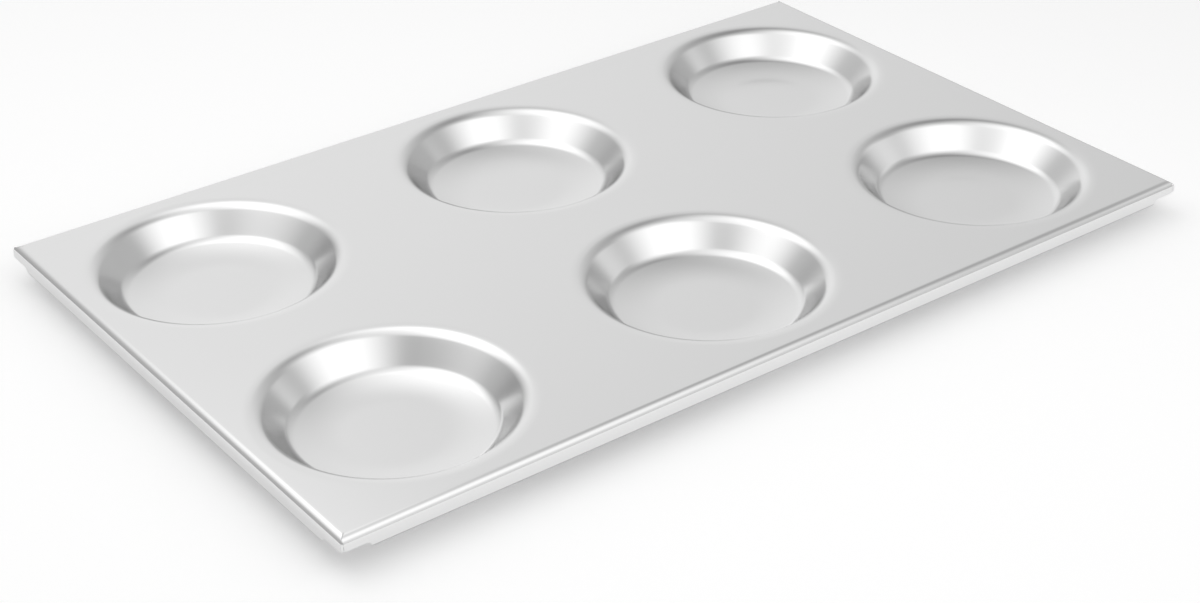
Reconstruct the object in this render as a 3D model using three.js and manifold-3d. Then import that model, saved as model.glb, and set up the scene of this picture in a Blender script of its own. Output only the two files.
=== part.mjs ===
// Round cavity baking tray: one aluminium sheet with drawn cavities and folded edges.
// Millimetres, +Z up. The origin is on the resting plane, under the middle of the tray.

import * as THREE from 'three';
import { mergeVertices } from 'three/addons/utils/BufferGeometryUtils.js';
import Module from 'manifold-3d';

const wasm = await Module();
wasm.setup();

// Driving dimensions of the sheet
const TRAY_LENGTH = 530;
const TRAY_WIDTH = 325;
const SHEET = 1.5;
const SEAM = 0.3;

// Driving dimensions of a cavity, on the upper face of the sheet
const COLUMN_PITCH = 188;
const ROW_PITCH = 166.5;
const RIM_RADIUS = 69.2;
const LEAD_RADIUS = 30;
const LEAD_ANGLE = THREE.MathUtils.degToRad(7);
const SHOULDER_RADIUS = 9;
const WALL_ANGLE = THREE.MathUtils.degToRad(48.5);
const FOOT_RADIUS = 9;
const FLOOR_ANGLE = THREE.MathUtils.degToRad(13);
const CAVITY_DEPTH = 16;
const FLOOR_DISH = 2.5;

// Driving dimensions of a skirt
const BEND_RADIUS = 4;
const SKIRT_DEPTH = 9.4;
const CORNER_DEPTH = 6.9;
const STEP_START = 13.2;
const STEP_END = 16.4;
const LOWER_CORNER_RADIUS = 0.9;
const MITRE_DEPTH = 0.9;

// How far a cutting shape passes beyond the sheet that it cuts
const CUT_MARGIN = 4;

// Smoothness of the facets
const CUP_SIDES = 40;
const LEAD_STEPS = 1;
const ROUND_STEPS = 4;
const DISH_STEPS = 3;
const CURVE_STEPS = 5;

// Sizes that follow from the driving dimensions
const DECK_TOP = CAVITY_DEPTH + FLOOR_DISH + SHEET;
const LEAD_DROP = LEAD_RADIUS * (1 - Math.cos(LEAD_ANGLE));
const SHOULDER_DROP = SHOULDER_RADIUS * (Math.cos(LEAD_ANGLE) - Math.cos(WALL_ANGLE));
const FOOT_DROP = FOOT_RADIUS * (Math.cos(FLOOR_ANGLE) - Math.cos(WALL_ANGLE));
const WALL_DROP = CAVITY_DEPTH - LEAD_DROP - SHOULDER_DROP - FOOT_DROP;
const MITRE_INSET = SEAM / Math.SQRT2;
const NOTCH_INSET = SHEET + SEAM;

function satinAluminium() {
  return new THREE.MeshStandardMaterial({ color: 0xd9dadb, roughness: 0.38, metalness: 1 });
}

function namedMesh(name, geometry) {
  const mesh = new THREE.Mesh(geometry, satinAluminium());
  mesh.name = name;
  return mesh;
}

function solidFrom(geometry) {
  geometry.deleteAttribute('normal');
  geometry.deleteAttribute('uv');
  const merged = mergeVertices(geometry);
  return new wasm.Manifold(new wasm.Mesh({
    numProp: 3,
    vertProperties: merged.attributes.position.array,
    triVerts: Uint32Array.from(merged.index.array)
  }));
}

function geometryFrom(solid) {
  const { vertProperties, triVerts } = solid.getMesh();
  const geometry = new THREE.BufferGeometry();
  geometry.setAttribute('position', new THREE.BufferAttribute(vertProperties, 3));
  geometry.setIndex(new THREE.BufferAttribute(triVerts, 1));
  geometry.computeVertexNormals();
  return geometry;
}

// The middle of each cavity, by row and column
function cavityPlaces() {
  const rows = { front: -ROW_PITCH / 2, rear: ROW_PITCH / 2 };
  const columns = { left: -COLUMN_PITCH, middle: 0, right: COLUMN_PITCH };
  const places = [];
  for (const [row, y] of Object.entries(rows)) {
    for (const [column, x] of Object.entries(columns)) {
      places.push({ name: `cup_${row}_${column}`, x, y });
    }
  }
  return places;
}

// Flat web of the sheet, with a round opening at each cavity
function makeDeck() {
  const halfLength = TRAY_LENGTH / 2 - BEND_RADIUS - SEAM;
  const halfWidth = TRAY_WIDTH / 2 - BEND_RADIUS - SEAM;
  const outline = new THREE.Shape();
  outline.moveTo(-halfLength, -halfWidth);
  outline.lineTo(halfLength, -halfWidth);
  outline.lineTo(halfLength, halfWidth);
  outline.lineTo(-halfLength, halfWidth);
  outline.closePath();
  for (const place of cavityPlaces()) {
    const opening = new THREE.Path();
    opening.absarc(place.x, place.y, RIM_RADIUS + SEAM, 0, 2 * Math.PI, true);
    outline.holes.push(opening);
  }
  const web = new THREE.ExtrudeGeometry(outline, {
    depth: SHEET,
    curveSegments: CUP_SIDES / 2,
    bevelEnabled: false
  });
  const deck = namedMesh('deck_sheet', web);
  deck.position.z = DECK_TOP - SHEET;
  return deck;
}

// Adds a round that carries the sheet on inwards and down, from the last point's slope to a new one
function addRound(points, radius, slope, steps) {
  const start = points[points.length - 1];
  for (let step = 1; step <= steps; step += 1) {
    const turn = THREE.MathUtils.lerp(start.slope, slope, step / steps);
    points.push({
      radius: start.radius - radius * Math.abs(Math.sin(turn) - Math.sin(start.slope)),
      depth: start.depth + radius * Math.abs(Math.cos(turn) - Math.cos(start.slope)),
      slope: turn
    });
  }
}

// Upper face of a cavity, from its rim in to its axis: radius, depth and slope at each point
function cupSection() {
  const points = [{ radius: RIM_RADIUS, depth: 0, slope: 0 }];
  addRound(points, LEAD_RADIUS, LEAD_ANGLE, LEAD_STEPS);
  addRound(points, SHOULDER_RADIUS, WALL_ANGLE, ROUND_STEPS);
  const shoulder = points[points.length - 1];
  points.push({
    radius: shoulder.radius - WALL_DROP / Math.tan(WALL_ANGLE),
    depth: shoulder.depth + WALL_DROP,
    slope: WALL_ANGLE
  });
  addRound(points, FOOT_RADIUS, FLOOR_ANGLE, ROUND_STEPS);
  const crease = points[points.length - 1];
  const dishWidth = 2 * FLOOR_DISH / Math.tan(FLOOR_ANGLE);
  for (let step = 1; step <= DISH_STEPS; step += 1) {
    const left = 1 - step / DISH_STEPS;
    points.push({
      radius: crease.radius - dishWidth * (1 - left),
      depth: CAVITY_DEPTH + FLOOR_DISH * (1 - left ** 2),
      slope: Math.atan(left * Math.tan(FLOOR_ANGLE))
    });
  }
  points.push({ radius: 0, depth: CAVITY_DEPTH + FLOOR_DISH, slope: 0 });
  return points;
}

// One face of the section as a line of points, a given way below the upper face
function cupFace(below) {
  return cupSection().map(({ radius, depth, slope }) => new THREE.Vector2(
    radius === 0 ? 0 : radius + below * Math.sin(slope),
    -depth - below * Math.cos(slope)
  ));
}

// Drawn cavity: soft shoulder, conical wall, lower round and dished floor, turned about its axis
function makeCup(place) {
  const profile = [...cupFace(SHEET).reverse(), ...cupFace(0)];
  const turned = new THREE.LatheGeometry(profile, CUP_SIDES);
  turned.rotateX(Math.PI / 2);
  const cup = namedMesh(place.name, turned);
  cup.position.set(place.x, place.y, DECK_TOP);
  return cup;
}

// Section of a folded edge: y is measured outwards from the outer face, z down from the deck
function skirtSection() {
  const section = new THREE.Shape();
  section.moveTo(-BEND_RADIUS, -SHEET);
  section.lineTo(-BEND_RADIUS, 0);
  section.absarc(-BEND_RADIUS, -BEND_RADIUS, BEND_RADIUS, Math.PI / 2, 0, true);
  section.lineTo(0, -SKIRT_DEPTH);
  section.lineTo(-SHEET, -SKIRT_DEPTH);
  section.absarc(-BEND_RADIUS, -BEND_RADIUS, BEND_RADIUS - SHEET, 0, Math.PI / 2, false);
  return section;
}

// Outline of a folded edge seen square on: shallow near the corners, with a smooth step down to
// the full depth, and notched at both ends below the mitre where it ends against its neighbours
function skirtFront(halfLength, runsThrough) {
  const end = runsThrough ? halfLength : halfLength - NOTCH_INSET;
  const shallow = halfLength - STEP_START;
  const deep = halfLength - STEP_END;
  const middle = (shallow + deep) / 2;
  const lower = -CORNER_DEPTH + LOWER_CORNER_RADIUS;
  const top = runsThrough ? CUT_MARGIN : -MITRE_DEPTH;
  const front = new THREE.Shape();
  front.moveTo(-end, top);
  front.lineTo(-end, lower);
  front.quadraticCurveTo(-end, -CORNER_DEPTH, -end + LOWER_CORNER_RADIUS, -CORNER_DEPTH);
  front.lineTo(-shallow, -CORNER_DEPTH);
  front.bezierCurveTo(-middle, -CORNER_DEPTH, -middle, -SKIRT_DEPTH, -deep, -SKIRT_DEPTH);
  front.lineTo(deep, -SKIRT_DEPTH);
  front.bezierCurveTo(middle, -SKIRT_DEPTH, middle, -CORNER_DEPTH, shallow, -CORNER_DEPTH);
  front.lineTo(end - LOWER_CORNER_RADIUS, -CORNER_DEPTH);
  front.quadraticCurveTo(end, -CORNER_DEPTH, end, lower);
  front.lineTo(end, top);
  if (!runsThrough) {
    front.lineTo(halfLength, top);
    front.lineTo(halfLength, CUT_MARGIN);
    front.lineTo(-halfLength, CUT_MARGIN);
    front.lineTo(-halfLength, top);
  }
  front.closePath();
  return front;
}

// Outline of a folded edge seen from above: its bend meets its neighbours' in a fine mitre,
// and a skirt that runs through goes on past the mitre by its own thickness
function skirtPlan(halfLength, runsThrough) {
  const outer = halfLength - MITRE_INSET;
  const inner = outer - BEND_RADIUS;
  const past = runsThrough ? halfLength + CUT_MARGIN : outer;
  const strip = runsThrough ? SHEET : 0;
  const plan = new THREE.Shape();
  plan.moveTo(-past, -CUT_MARGIN);
  plan.lineTo(past, -CUT_MARGIN);
  plan.lineTo(past, strip);
  if (runsThrough) {
    plan.lineTo(outer - strip, strip);
  }
  plan.lineTo(inner, BEND_RADIUS);
  plan.lineTo(inner, BEND_RADIUS + CUT_MARGIN);
  plan.lineTo(-inner, BEND_RADIUS + CUT_MARGIN);
  plan.lineTo(-inner, BEND_RADIUS);
  if (runsThrough) {
    plan.lineTo(-outer + strip, strip);
  }
  plan.lineTo(-past, strip);
  plan.closePath();
  return plan;
}

// Solid that stands on an outline seen from above, between two heights
function upright(outline, low, high) {
  const prism = new THREE.ExtrudeGeometry(outline, { depth: high - low, bevelEnabled: false });
  prism.translate(0, 0, low);
  return solidFrom(prism);
}

// What the plan outlines leave of a folded edge: mitred all the way down, and for a skirt that
// runs through also the corner below the mitre
function skirtEnds(halfLength, runsThrough) {
  const bottom = -SKIRT_DEPTH - CUT_MARGIN;
  const mitred = upright(skirtPlan(halfLength, false), bottom, CUT_MARGIN);
  if (!runsThrough) {
    return mitred;
  }
  const mitreFoot = -MITRE_DEPTH - SEAM;
  return mitred.add(upright(skirtPlan(halfLength, true), bottom, mitreFoot));
}

// Folded edge: the bend and the skirt, cut to its front and plan outlines
function makeSkirt(name, length, acrossTray, quarterTurns, runsThrough) {
  const halfLength = length / 2;
  const smooth = { curveSegments: CURVE_STEPS, bevelEnabled: false };
  const alongEdge = new THREE.Matrix4().makeBasis(
    new THREE.Vector3(0, -1, 0),
    new THREE.Vector3(0, 0, 1),
    new THREE.Vector3(-1, 0, 0)
  );
  const barLength = length + 2 * CUT_MARGIN;
  const bar = new THREE.ExtrudeGeometry(skirtSection(), { ...smooth, depth: barLength });
  bar.translate(0, 0, -barLength / 2);
  bar.applyMatrix4(alongEdge);
  const frontDepth = BEND_RADIUS + 2 * CUT_MARGIN;
  const outline = skirtFront(halfLength, runsThrough);
  const front = new THREE.ExtrudeGeometry(outline, { ...smooth, depth: frontDepth });
  front.rotateX(Math.PI / 2);
  front.translate(0, BEND_RADIUS + CUT_MARGIN, 0);
  const ends = skirtEnds(halfLength, runsThrough);
  const cut = solidFrom(bar).intersect(solidFrom(front)).intersect(ends);
  const skirt = namedMesh(name, geometryFrom(cut));
  skirt.position.set(0, -acrossTray / 2, DECK_TOP);
  const side = new THREE.Group();
  side.rotation.z = quarterTurns * Math.PI / 2;
  side.add(skirt);
  return side;
}

const tray = new THREE.Group();
tray.add(makeDeck());
for (const place of cavityPlaces()) {
  tray.add(makeCup(place));
}
tray.add(makeSkirt('skirt_front', TRAY_LENGTH, TRAY_WIDTH, 0, false));
tray.add(makeSkirt('skirt_right', TRAY_WIDTH, TRAY_LENGTH, 1, true));
tray.add(makeSkirt('skirt_rear', TRAY_LENGTH, TRAY_WIDTH, 2, false));
tray.add(makeSkirt('skirt_left', TRAY_WIDTH, TRAY_LENGTH, 3, true));

export default tray;
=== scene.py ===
import math

import bpy
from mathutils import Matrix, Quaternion, Vector


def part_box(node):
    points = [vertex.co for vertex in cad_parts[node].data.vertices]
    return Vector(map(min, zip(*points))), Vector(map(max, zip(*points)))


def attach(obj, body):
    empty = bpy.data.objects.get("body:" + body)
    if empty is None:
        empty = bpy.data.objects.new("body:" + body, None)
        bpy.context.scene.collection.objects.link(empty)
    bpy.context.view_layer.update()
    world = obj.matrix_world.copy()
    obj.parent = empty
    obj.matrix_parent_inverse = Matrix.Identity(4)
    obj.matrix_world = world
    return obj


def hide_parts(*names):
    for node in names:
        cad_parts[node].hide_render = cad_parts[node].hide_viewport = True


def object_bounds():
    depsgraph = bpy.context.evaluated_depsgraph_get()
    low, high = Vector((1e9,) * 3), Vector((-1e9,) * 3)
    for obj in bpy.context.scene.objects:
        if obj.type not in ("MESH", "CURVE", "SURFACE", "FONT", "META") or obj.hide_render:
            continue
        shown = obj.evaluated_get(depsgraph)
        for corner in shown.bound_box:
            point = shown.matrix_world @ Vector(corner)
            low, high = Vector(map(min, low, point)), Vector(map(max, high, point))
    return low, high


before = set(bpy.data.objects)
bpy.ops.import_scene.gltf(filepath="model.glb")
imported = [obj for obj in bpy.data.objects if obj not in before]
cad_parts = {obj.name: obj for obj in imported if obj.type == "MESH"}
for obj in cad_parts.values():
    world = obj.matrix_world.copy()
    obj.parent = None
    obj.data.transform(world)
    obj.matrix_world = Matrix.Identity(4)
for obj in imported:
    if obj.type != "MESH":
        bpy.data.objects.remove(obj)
cad_low, cad_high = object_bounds()


# The flat web is the part of the sheet that stays as it was rolled, with six round openings.
# It is 1.5 mm aluminium with a satin face, cut to size before the cavities are drawn out of it.
# The forming tools work outwards from it, so every size starts from its place in the frame.
web_low, web_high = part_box("deck_sheet")
sheet_thickness = web_high.z - web_low.z
web_length = web_high.x - web_low.x
web_width = web_high.y - web_low.y
front_edge_low, front_edge_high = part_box("skirt_front")
seam = web_low.y - front_edge_high.y
shear_line = front_edge_low.z
turn_sides = 180

cavity_rows = ("front", "rear")
cavity_columns = ("left", "middle", "right")
cavity_centres = {}
for row in cavity_rows:
    for column in cavity_columns:
        low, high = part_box(f"cup_{row}_{column}")
        cavity_centres[f"{row}_{column}"] = (low + high) / 2
cavity_low, cavity_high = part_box("cup_front_left")
rim_radius = (cavity_high.x - cavity_low.x) / 2
opening_radius = rim_radius + seam
column_pitch = cavity_centres["front_middle"].x - cavity_centres["front_left"].x
row_pitch = cavity_centres["rear_left"].y - cavity_centres["front_left"].y


class Wire:
    """One output of a node. Arithmetic on it adds Math nodes, and add() makes any other node."""

    def __init__(self, tree, socket=None):
        self.tree = tree
        self.socket = socket

    def add(self, kind, settings=(), sockets=(), output=0):
        node = self.tree.nodes.new(kind)
        for name, value in dict(settings).items():
            setattr(node, name, value)
        for key, value in dict(sockets).items():
            for source in value if isinstance(value, list) else [value]:
                if isinstance(source, Wire):
                    self.tree.links.new(source.socket, node.inputs[key])
                else:
                    node.inputs[key].default_value = source
        return Wire(self.tree, node.outputs[output] if node.outputs else None)

    def maths(self, operation, *values):
        return self.add("ShaderNodeMath", {"operation": operation}, enumerate(values))

    def __add__(self, other):
        return self.maths("ADD", self, other)

    def __radd__(self, other):
        return self.maths("ADD", other, self)

    def __sub__(self, other):
        return self.maths("SUBTRACT", self, other)

    def __rsub__(self, other):
        return self.maths("SUBTRACT", other, self)

    def __mul__(self, other):
        return self.maths("MULTIPLY", self, other)

    def __rmul__(self, other):
        return self.maths("MULTIPLY", other, self)

    def __truediv__(self, other):
        return self.maths("DIVIDE", self, other)

    def __gt__(self, other):
        return self.maths("GREATER_THAN", self, other)

    def sine(self):
        return self.maths("SINE", self)

    def cosine(self):
        return self.maths("COSINE", self)

    def exponent(self):
        return self.maths("EXPONENT", self)

    def size(self):
        return self.maths("ABSOLUTE", self)

    def share(self, start, length):
        """How far the value has come from start along length, from 0 to 1."""
        settings = {"operation": "DIVIDE", "use_clamp": True}
        return self.add("ShaderNodeMath", settings, {0: self - start, 1: length})

    def parts(self):
        """The three numbers of a vector."""
        node = self.add("ShaderNodeSeparateXYZ", {}, {0: self}).socket.node
        return [Wire(self.tree, socket) for socket in node.outputs]

    def point(self, x, y, z):
        return self.add("ShaderNodeCombineXYZ", {}, {"X": x, "Y": y, "Z": z})


def bare_tree(owner):
    """Empties the node tree of a material, lamp or world, and gives the wire that new nodes grow from."""
    owner.use_nodes = True
    owner.node_tree.nodes.clear()
    return Wire(owner.node_tree)


def satin_aluminium():
    """Rolled aluminium with a fine satin face: rolling grain, and draw lines down the cavity walls.

    The outer faces of the folded edges carry painted shade, the short edges more than the long ones,
    and a painted shade line runs along their lower edge.
    """
    material = bpy.data.materials.new("satin_aluminium")
    start = bare_tree(material)
    place = start.add("ShaderNodeTexCoord", output="Object")
    x, y, z = place.parts()
    noise = {"noise_dimensions": "3D"}
    noise_middle = 0.5

    grain_length, grain_width = 0.018, 0.00025
    grain_place = start.point(x / grain_length, y / grain_width, z / grain_width)
    grain = start.add("ShaderNodeTexNoise", noise, {"Vector": grain_place, "Scale": 1.0, "Detail": 3.0})

    # The draw lines run outwards from the axis of the nearest cavity, and are kept to its wall.
    least_reach = 1e-6
    across = x - start.maths("ROUND", x / column_pitch) * column_pitch
    deep = y.size() - row_pitch / 2
    reach = start.maths("SQRT", across * across + deep * deep) + least_reach
    lines_per_radian, line_length = 45, 0.03
    draw_place = start.point(
        across / reach * lines_per_radian, deep / reach * lines_per_radian, reach / line_length
    )
    draw = start.add("ShaderNodeTexNoise", noise, {"Vector": draw_place, "Scale": 1.0, "Detail": 4.0})
    foot_reach, foot_fade = 0.044, 0.006
    shoulder_reach, shoulder_fade = 0.062, 0.005
    on_wall = reach.share(foot_reach, foot_fade) * (1 - reach.share(shoulder_reach, shoulder_fade))

    cloud = start.add("ShaderNodeTexNoise", noise, {"Vector": place, "Scale": 14.0, "Detail": 3.0})

    satin_roughness, roughness_swing = 0.17, 0.02
    satin_tone, tone_swing = 0.85, 0.01
    streak = grain - noise_middle + (draw - noise_middle) * on_wall
    uneven = streak + (cloud - noise_middle)
    roughness = satin_roughness + uneven * roughness_swing
    tone = satin_tone + uneven * tone_swing

    skin, skin_fade = 0.0004, 0.0002
    cut_height = 0.0005
    short_face_painted_shade, long_face_painted_shade, lower_edge_painted_shade = 0.115, 0.05, 0.55
    on_short_face = (x.size() - cad_high.x).share(-skin, skin_fade)
    on_long_face = (y.size() - cad_high.y).share(-skin, skin_fade)
    on_painted_edge_shade = (shear_line + cut_height - z).share(0.0, skin_fade) * (on_short_face + on_long_face)
    # Painted shade: the outer faces of the folded edges are darkened, the short ones more than the long
    # ones.
    tone = tone * (1 - short_face_painted_shade * on_short_face - long_face_painted_shade * on_long_face)
    # Painted shade: a darker line along the lower edge of the folded faces, where the shadow under the
    # tray is seen.
    tone = tone * (1 - lower_edge_painted_shade * on_painted_edge_shade)

    colour = start.add("ShaderNodeCombineColor", {}, {0: tone, 1: tone, 2: tone})
    flat_angle_tint = (0.88, 0.88, 0.88, 1.0)
    grain_strength, grain_height = 0.02, 0.00002
    bump = start.add("ShaderNodeBump", {}, {
        "Strength": grain_strength, "Distance": grain_height, "Height": grain + draw * on_wall
    })
    metal = start.add("ShaderNodeBsdfPrincipled", {}, {
        "Base Color": colour, "Metallic": 1.0, "Roughness": roughness, "Normal": bump,
        "Specular Tint": flat_angle_tint,
    })
    start.add("ShaderNodeOutputMaterial", {}, {"Surface": metal})
    return material


sheet_metal = satin_aluminium()
weld_distance = 1e-6


def forming_tree(name, size_names):
    """An empty geometry tree with one number input for each size, and those inputs as wires."""
    tree = bpy.data.node_groups.new(name, "GeometryNodeTree")
    for size_name in size_names:
        tree.interface.new_socket(name=size_name, in_out="INPUT", socket_type="NodeSocketFloat")
    tree.interface.new_socket(name="Piece", in_out="OUTPUT", socket_type="NodeSocketGeometry")
    entry = tree.nodes.new("NodeGroupInput")
    return Wire(tree), [Wire(tree, entry.outputs[size_name]) for size_name in size_names]


def close_tree(shape):
    """Welds the shape, gives it the sheet's material and makes it the tree's result."""
    weld = shape.add("GeometryNodeMergeByDistance", {}, {"Geometry": shape, "Distance": weld_distance})
    real = shape.add("GeometryNodeRealizeInstances", {}, {"Geometry": weld})
    covered = shape.add("GeometryNodeSetMaterial", {}, {"Geometry": real, "Material": sheet_metal})
    shape.tree.links.new(covered.socket, shape.tree.nodes.new("NodeGroupOutput").inputs[0])


def set_in_scene(name, data):
    """Makes an object of a mesh, a lamp or a camera."""
    item = bpy.data.objects.new(name, data)
    bpy.context.scene.collection.objects.link(item)
    return item


def formed_piece(name, tree, sizes, node):
    """Runs a tree once with its sizes and keeps the result as a plain mesh in place of a node."""
    piece = set_in_scene(name, bpy.data.meshes.new(name))
    forming = piece.modifiers.new("forming", "NODES")
    forming.node_group = tree
    for socket in tree.interface.items_tree:
        if socket.in_out == "INPUT":
            forming[socket.identifier] = sizes[socket.name]
    evaluated = piece.evaluated_get(bpy.context.evaluated_depsgraph_get())
    mesh = bpy.data.meshes.new_from_object(evaluated)
    piece.modifiers.remove(forming)
    piece.data = mesh
    mesh.name = name
    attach(piece, "root")
    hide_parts(node)


def web_tree():
    """The cut blank: a rectangle with a grid of round openings, raised to the sheet's thickness."""
    start, (length, width, top, thickness, radius, columns_apart, rows_apart) = forming_tree("web", [
        "Length", "Width", "Top", "Thickness", "Opening Radius", "Column Pitch", "Row Pitch"
    ])
    outline = start.add("GeometryNodeCurvePrimitiveQuadrilateral", {}, {
        "Width": length, "Height": width
    })
    circle = start.add("GeometryNodeCurvePrimitiveCircle", {}, {
        "Resolution": turn_sides, "Radius": radius
    })
    centres = start.add("GeometryNodeMeshGrid", {}, {
        "Size X": columns_apart * (len(cavity_columns) - 1),
        "Size Y": rows_apart * (len(cavity_rows) - 1),
        "Vertices X": len(cavity_columns),
        "Vertices Y": len(cavity_rows),
    })
    openings = start.add("GeometryNodeInstanceOnPoints", {}, {"Points": centres, "Instance": circle})
    cut_lines = start.add("GeometryNodeRealizeInstances", {}, {"Geometry": openings})
    lines = start.add("GeometryNodeJoinGeometry", {}, {"Geometry": [outline, cut_lines]})
    flat = start.add("GeometryNodeFillCurve", {}, {"Curve": lines})
    lower = start.add("GeometryNodeTransform", {}, {
        "Geometry": flat, "Translation": start.point(0.0, 0.0, top - thickness)
    })
    underside = start.add("GeometryNodeFlipFaces", {}, {"Mesh": lower})
    raised = start.add("GeometryNodeExtrudeMesh", {}, {
        "Mesh": lower,
        "Offset": start.point(0.0, 0.0, 1.0),
        "Offset Scale": thickness,
        "Individual": False,
    })
    blank = start.add("GeometryNodeJoinGeometry", {}, {"Geometry": [underside, raised]})
    close_tree(start.add("GeometryNodeSetShadeSmooth", {}, {"Geometry": blank, "Shade Smooth": False}))
    return start.tree


formed_piece("flat_web", web_tree(), {
    "Length": web_length,
    "Width": web_width,
    "Top": web_high.z,
    "Thickness": sheet_thickness,
    "Opening Radius": opening_radius,
    "Column Pitch": column_pitch,
    "Row Pitch": row_pitch,
}, "deck_sheet")


# The six cavities are drawn from the same sheet by a round punch, so the wall keeps its thickness.
# From the rim inwards: a gentle lead-in, a rounded shoulder, a conical wall, a foot round
# and a dished floor that runs out to a flat middle, on which the tray stands.
lead_radius = 0.030
lead_angle = math.radians(7)
shoulder_radius = 0.009
wall_angle = math.radians(48.5)
foot_radius = 0.009
floor_angle = math.radians(13)
floor_dish = 0.0025
cavity_depth = cavity_high.z - cavity_low.z - sheet_thickness - floor_dish
wall_drop = (
    cavity_depth
    - lead_radius * (1 - math.cos(lead_angle))
    - shoulder_radius * (math.cos(lead_angle) - math.cos(wall_angle))
    - foot_radius * (math.cos(floor_angle) - math.cos(wall_angle))
)
cavity_bands = {"rim": 1, "lead": 8, "shoulder": 20, "wall": 6, "foot": 20, "dish": 20, "flat": 5}


def band_shares(distance, bands):
    """How far a distance, counted in lines, has come through each band, from 0 to 1."""
    shares = {}
    passed = 0
    for band, lines in bands.items():
        shares[band] = distance.share(passed, lines)
        passed += lines
    return shares


def smooth_but_for(shape, smooth_edges):
    """Shades a shape smoothly, apart from the edges where the cut face of the sheet begins."""
    smooth = shape.add("GeometryNodeSetShadeSmooth", {"domain": "FACE"}, {
        "Geometry": shape, "Shade Smooth": True
    })
    return shape.add("GeometryNodeSetShadeSmooth", {"domain": "EDGE"}, {
        "Geometry": smooth, "Shade Smooth": smooth_edges
    })


def cavity_tree():
    """A folded grid turned about the cavity's axis: in over the upper face, back along the underside."""
    start, sizes = forming_tree("cavity", [
        "Centre X", "Centre Y", "Top", "Thickness", "Rim Radius", "Seam", "Lead Radius", "Lead Angle",
        "Shoulder Radius", "Wall Angle", "Wall Drop", "Foot Radius", "Floor Angle", "Floor Dish",
    ])
    (
        centre_x, centre_y, top, thickness, rim, strip, lead, lead_slope,
        shoulder, wall_slope, drop, foot, floor_slope, dish,
    ) = sizes
    last = sum(cavity_bands.values())
    grid = start.add("GeometryNodeMeshGrid", {}, {
        "Size X": 2.0 * last + 1,
        "Size Y": 2 * math.pi,
        "Vertices X": 2 * last + 2,
        "Vertices Y": turn_sides + 1,
    })
    line, turn, _ = start.add("GeometryNodeInputPosition").parts()
    first_line, past_first_line = 0.5, 0.75
    under = line > 0
    along = band_shares(line.size() - first_line, cavity_bands)

    lead_turn = lead_slope * along["lead"]
    shoulder_turn = lead_slope + (wall_slope - lead_slope) * along["shoulder"]
    foot_turn = wall_slope - (wall_slope - floor_slope) * along["foot"]
    wall_run = drop * wall_slope.cosine() / wall_slope.sine()
    dish_run = 2 * dish * floor_slope.cosine() / floor_slope.sine()
    inner = (
        rim + strip * (1 - along["rim"])
        - lead * lead_turn.sine()
        - shoulder * (shoulder_turn.sine() - lead_slope.sine())
        - wall_run * along["wall"]
        - foot * (wall_slope.sine() - foot_turn.sine())
        - dish_run * along["dish"]
    )
    upper_radius = inner * (1 - along["flat"])
    dip = 1 - along["dish"]
    upper_height = (
        top
        - lead * (1 - lead_turn.cosine())
        - shoulder * (lead_slope.cosine() - shoulder_turn.cosine())
        - drop * along["wall"]
        - foot * (foot_turn.cosine() - wall_slope.cosine())
        - dish * (1 - dip * dip)
    )
    slope = lead_turn + shoulder_turn - lead_slope + foot_turn - wall_slope - floor_slope * along["dish"]
    radius = upper_radius + under * thickness * slope.sine()
    height = upper_height - under * thickness * slope.cosine()
    turned = start.add("GeometryNodeSetPosition", {}, {
        "Geometry": smooth_but_for(grid, line.size() > past_first_line),
        "Position": start.point(
            centre_x + radius * turn.cosine(), centre_y + radius * turn.sine(), height
        ),
    })
    close_tree(turned)
    return start.tree


drawn_cavity = cavity_tree()
for place, centre in cavity_centres.items():
    formed_piece(f"cavity_{place}", drawn_cavity, {
        "Centre X": centre.x,
        "Centre Y": centre.y,
        "Top": web_high.z,
        "Thickness": sheet_thickness,
        "Rim Radius": rim_radius,
        "Seam": seam,
        "Lead Radius": lead_radius,
        "Lead Angle": lead_angle,
        "Shoulder Radius": shoulder_radius,
        "Wall Angle": wall_angle,
        "Wall Drop": wall_drop,
        "Foot Radius": foot_radius,
        "Floor Angle": floor_angle,
        "Floor Dish": floor_dish,
    }, f"cup_{place}")


# The four edges are folded down along the web, two long and two short, so the tray stands stiff.
# Each has a small bend and a sheared lower edge, barely rounded, and is shallower near the corners.
# The bends meet in a fine mitre; below it the short edges run through and the long ones end there.
bend_radius = web_low.y - seam - front_edge_low.y
skirt_depth = cad_high.z - shear_line
corner_depth = 0.0069
step_start = 0.0132
step_end = 0.0164
lower_corner_radius = 0.0009
mitre_inset = 0.00010
mitre_depth = 0.0009
mitre_blend = 0.0003
notch_inset = sheet_thickness + mitre_inset
lower_edge_radius = 0.0002
end_edge_radius = 0.00012
edge_bands = {"strip": 1, "bend": 16, "face": 5, "cut": 4}
length_bands = {"middle": 2, "step": 14, "shallow": 6, "corner": 8, "cut": 4}


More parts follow.
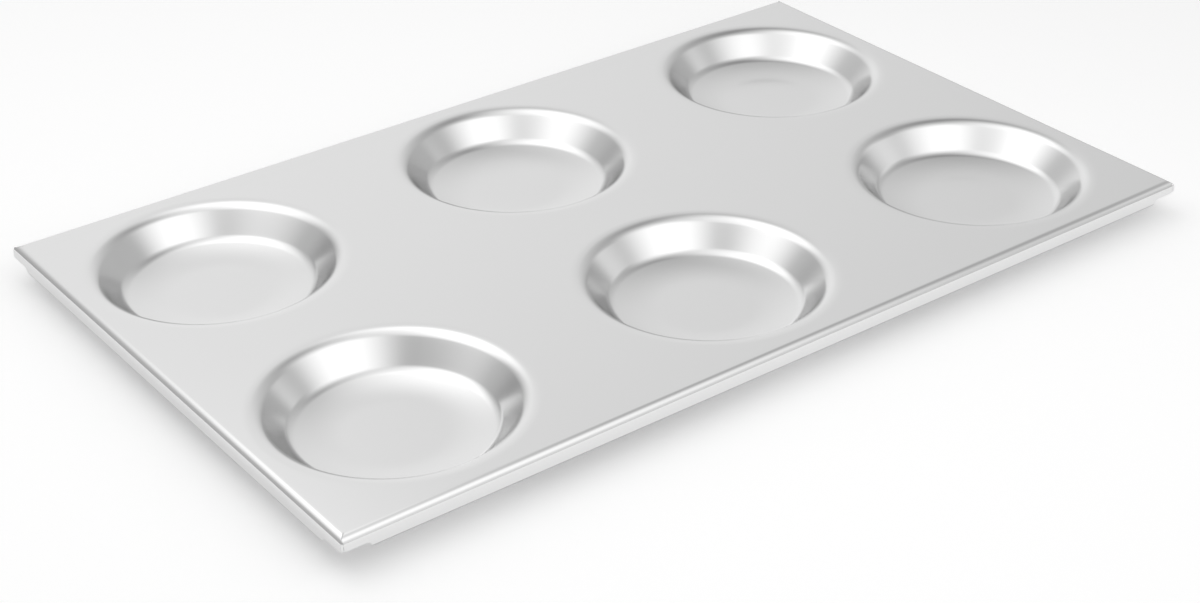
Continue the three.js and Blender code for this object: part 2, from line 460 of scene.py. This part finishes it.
def folded_edge_tree():
    """A flat bar bent over the web's edge: its rows cross the bend, its columns run to the corners."""
    start, sizes = forming_tree("folded_edge", [
        "Half Length", "Half Across", "Turn", "Top", "Thickness", "Seam", "Bend Radius", "Depth",
        "Corner Depth", "Step Start", "Step End", "Corner Radius", "Mitre Inset", "Mitre Depth",
        "Notch Inset", "Runs Through", "Lower Edge Radius", "End Edge Radius",
    ])
    (
        half_length, half_across, turn, top, thickness, strip, bend, depth,
        corner, step_from, step_to, round_end, mitre, mitre_end,
        notch, through, cut, end_cut,
    ) = sizes
    rows = sum(edge_bands.values())
    columns = sum(length_bands.values())
    bar = start.add("GeometryNodeMeshCube", {}, {
        "Size": (2.0 * columns, float(rows), 1.0),
        "Vertices X": 2 * columns + 1,
        "Vertices Y": rows + 1,
        "Vertices Z": 2,
    })
    column, row, layer = start.add("GeometryNodeInputPosition").parts()
    rows_down = rows / 2 - row
    past_first_row = 0.25
    down = band_shares(rows_down, edge_bands)
    out = band_shares(column.size(), length_bands)

    # The columns of the step stand closest in its middle, where the lower edge rises fastest.
    step = out["step"]
    step_along = 1.5 * step * (1 - step) + step * step * step
    step_down = step * step * (3 - 2 * step)
    quarter = math.pi / 2
    corner_turn = quarter * out["corner"]
    end_turn = quarter * out["cut"]
    cut_turn = quarter * down["cut"]
    bend_turn = quarter * down["bend"]

    drop = depth - (depth - corner) * step_down - round_end * (1 - corner_turn.cosine())
    worn = end_cut * (1 - end_turn.cosine()) + cut * (1 - cut_turn.cosine())
    below = (layer + 0.5) * worn + (0.5 - layer) * (thickness - worn)
    outward = half_across - bend - strip * (1 - down["strip"]) + bend * bend_turn.sine()
    outward = outward - below * bend_turn.sine()
    height = (
        top - bend * (1 - bend_turn.cosine())
        - (drop - bend - cut) * down["face"]
        - cut * cut_turn.sine()
        - below * bend_turn.cosine()
    )
    notched = (top - height).share(mitre_end, mitre_blend)
    from_face = half_across - outward
    outer_skin = 1 - from_face.share(thickness + mitre, mitre_blend)
    mitred = (from_face + mitre) * (1 - through * notched * outer_skin)
    end_inset = start.maths("MAXIMUM", mitred, notch * notched)
    along = (
        (half_length - step_to) * out["middle"]
        + (step_to - step_from) * step_along
        + (step_from - end_inset - round_end - end_cut) * out["shallow"]
        + round_end * corner_turn.sine()
        + end_cut * end_turn.sine()
    )
    side = column.maths("SIGN", column) * along

    folded = start.add("GeometryNodeSetPosition", {}, {
        "Geometry": smooth_but_for(bar, rows_down > past_first_row),
        "Position": start.point(
            side * turn.cosine() + outward * turn.sine(),
            side * turn.sine() - outward * turn.cosine(),
            height,
        ),
    })
    close_tree(folded)
    return start.tree


folded_edge = folded_edge_tree()
tray_length = cad_high.x - cad_low.x
tray_width = cad_high.y - cad_low.y
for quarter_turns, side in enumerate(("front", "right", "rear", "left")):
    lengthwise = side in ("front", "rear")
    formed_piece(f"edge_{side}", folded_edge, {
        "Half Length": (tray_length if lengthwise else tray_width) / 2,
        "Half Across": (tray_width if lengthwise else tray_length) / 2,
        "Turn": quarter_turns * math.pi / 2,
        "Top": web_high.z,
        "Thickness": sheet_thickness,
        "Seam": seam,
        "Bend Radius": bend_radius,
        "Depth": skirt_depth,
        "Corner Depth": corner_depth,
        "Step Start": step_start,
        "Step End": step_end,
        "Corner Radius": lower_corner_radius,
        "Mitre Inset": mitre_inset,
        "Mitre Depth": mitre_depth,
        "Notch Inset": notch_inset if lengthwise else 0.0,
        "Runs Through": 0.0 if lengthwise else 1.0,
        "Lower Edge Radius": lower_edge_radius,
        "End Edge Radius": end_edge_radius,
    }, f"skirt_{side}")


# The table is a wide matt white board that keeps the tray's soft shadow.
# For the camera and for mirror rays it is lifted a little, so that it photographs as white.
board_half = 6.0
board_white = (0.93, 0.93, 0.93, 1.0)
board_lift = 0.21


def white_board():
    material = bpy.data.materials.new("white_board")
    start = bare_tree(material)
    seen = start.add("ShaderNodeLightPath", output="Is Camera Ray")
    mirrored = start.add("ShaderNodeLightPath", output="Is Glossy Ray")
    through = start.add("ShaderNodeLightPath", output="Is Transmission Ray")
    matt = start.add("ShaderNodeBsdfDiffuse", {}, {"Color": board_white})
    lift = start.add("ShaderNodeEmission", {}, {"Strength": (seen + mirrored + through) * board_lift})
    both = start.add("ShaderNodeAddShader", {}, {0: matt, 1: lift})
    start.add("ShaderNodeOutputMaterial", {}, {"Surface": both})
    return material


board_mesh = bpy.data.meshes.new("table")
board_corners = [(-1, -1), (1, -1), (1, 1), (-1, 1)]
board_points = [(x * board_half, y * board_half, cad_low.z) for x, y in board_corners]
board_mesh.from_pydata(board_points, [], [(0, 1, 2, 3)])
board_mesh.materials.append(white_board())
table = set_in_scene("table", board_mesh)


# The studio is two wide soft boxes, high over the far left and above the near side, and a small
# fill on the right, all fading to their edges. The pale room is brighter overhead, with a darker
# ceiling, a pale wall at the far left, a dark doorway at the back and a darker corner at the right.
def aim(item, place, view, turn):
    """Puts a lamp or a camera in its place, looking along view and turned about it by some degrees."""
    item.location = place
    item.rotation_mode = "QUATERNION"
    roll = Quaternion((0, 0, 1), math.radians(turn))
    item.rotation_quaternion = view.to_track_quat("-Z", "Y") @ roll


def soft_box(name, place, target, turn, width, height, fade, brightness):
    light = bpy.data.lights.new(name, "AREA")
    light.shape = "RECTANGLE"
    light.size = width
    light.size_y = height
    light.energy = brightness * math.pi * width * height
    start = bare_tree(light)
    share_x, share_y, _ = start.add("ShaderNodeNewGeometry", output="Parametric").parts()
    middle = 0.5
    strength = 1.0
    for share, size in ((share_x, width), (share_y, height)):
        inside = (middle - (share - middle).size()).share(0.0, fade / size)
        strength = strength * (inside * inside * (3 - 2 * inside))
    glow = start.add("ShaderNodeEmission", {}, {"Strength": strength})
    start.add("ShaderNodeOutputLight", {}, {"Surface": glow})
    box = set_in_scene(name, light)
    aim(box, place, Vector(target) - Vector(place), turn)
    box.visible_camera = False


soft_box(
    "overhead_soft_box", place=(-0.387, 0.345, 1.070), target=(-0.083, 0.006, 0.020), turn=152.2,
    width=2.480, height=2.033, fade=0.994, brightness=1.056,
)
soft_box(
    "near_soft_box", place=(0.068, -0.464, 0.665), target=(-0.036, -0.096, 0.020), turn=176.5,
    width=1.595, height=1.496, fade=0.749, brightness=0.649,
)
soft_box(
    "right_fill", place=(0.787, -0.255, 0.302), target=(0.0, 0.0, 0.020), turn=180.0,
    width=0.791, height=0.534, fade=0.268, brightness=0.314,
)

room_patches = {
    "dark_ceiling": {"toward": (0.273, 0.170, 0.947), "narrowness": 4.48, "adds": -0.425},
    "pale_wall": {"toward": (-0.712, 0.591, -0.380), "narrowness": 2.46, "adds": 0.693},
    "doorway": {"toward": (-0.257, 0.962, 0.090), "narrowness": 14.0, "adds": -0.534},
    "dark_corner": {"toward": (0.853, 0.470, -0.227), "narrowness": 10.8, "adds": -0.222},
}


def pale_room():
    """A room as bright as its even light, the rise, bow and twist across it, and its patches give."""
    room = bpy.data.worlds.new("pale_room")
    start = bare_tree(room)
    x, y, z = start.add("ShaderNodeTexCoord", output="Generated").parts()
    even_light, least_light = 0.250, 0.03
    rise_x, rise_y, rise_z = 0.345, -0.074, 0.621
    bow_across, bow_up = -0.349, -0.146
    twist_xy, twist_xz, twist_yz = 0.282, -0.052, 0.082
    brightness = even_light + rise_x * x + rise_y * y + rise_z * z
    brightness = brightness + bow_across * (x * x - y * y) + bow_up * (3 * z * z - 1)
    brightness = brightness + twist_xy * x * y + twist_xz * x * z + twist_yz * y * z
    for patch in room_patches.values():
        toward_x, toward_y, toward_z = patch["toward"]
        facing = toward_x * x + toward_y * y + toward_z * z
        brightness = brightness + patch["adds"] * ((facing - 1) * patch["narrowness"]).exponent()
    walls = start.add("ShaderNodeBackground", {}, {
        "Color": (1.0, 1.0, 1.0, 1.0), "Strength": start.maths("MAXIMUM", brightness, least_light)
    })
    start.add("ShaderNodeOutputWorld", {}, {"Surface": walls})
    return room


bpy.context.scene.world = pale_room()


# The camera looks down over the front left corner, as in the photograph.
# It has a longish lens and is half a degree off level.
camera_place = (-0.628206, -0.827894, 0.577207)
camera_view = Vector((0.51832815, 0.68836999, -0.50742752))
camera_roll = -0.578
camera_data = bpy.data.cameras.new("camera")
camera_data.sensor_width = 36.0
camera_data.lens = 66.447
camera = set_in_scene("camera", camera_data)
aim(camera, camera_place, camera_view, camera_roll)
bpy.context.scene.camera = camera
bpy.context.scene.view_settings.view_transform = "Standard"
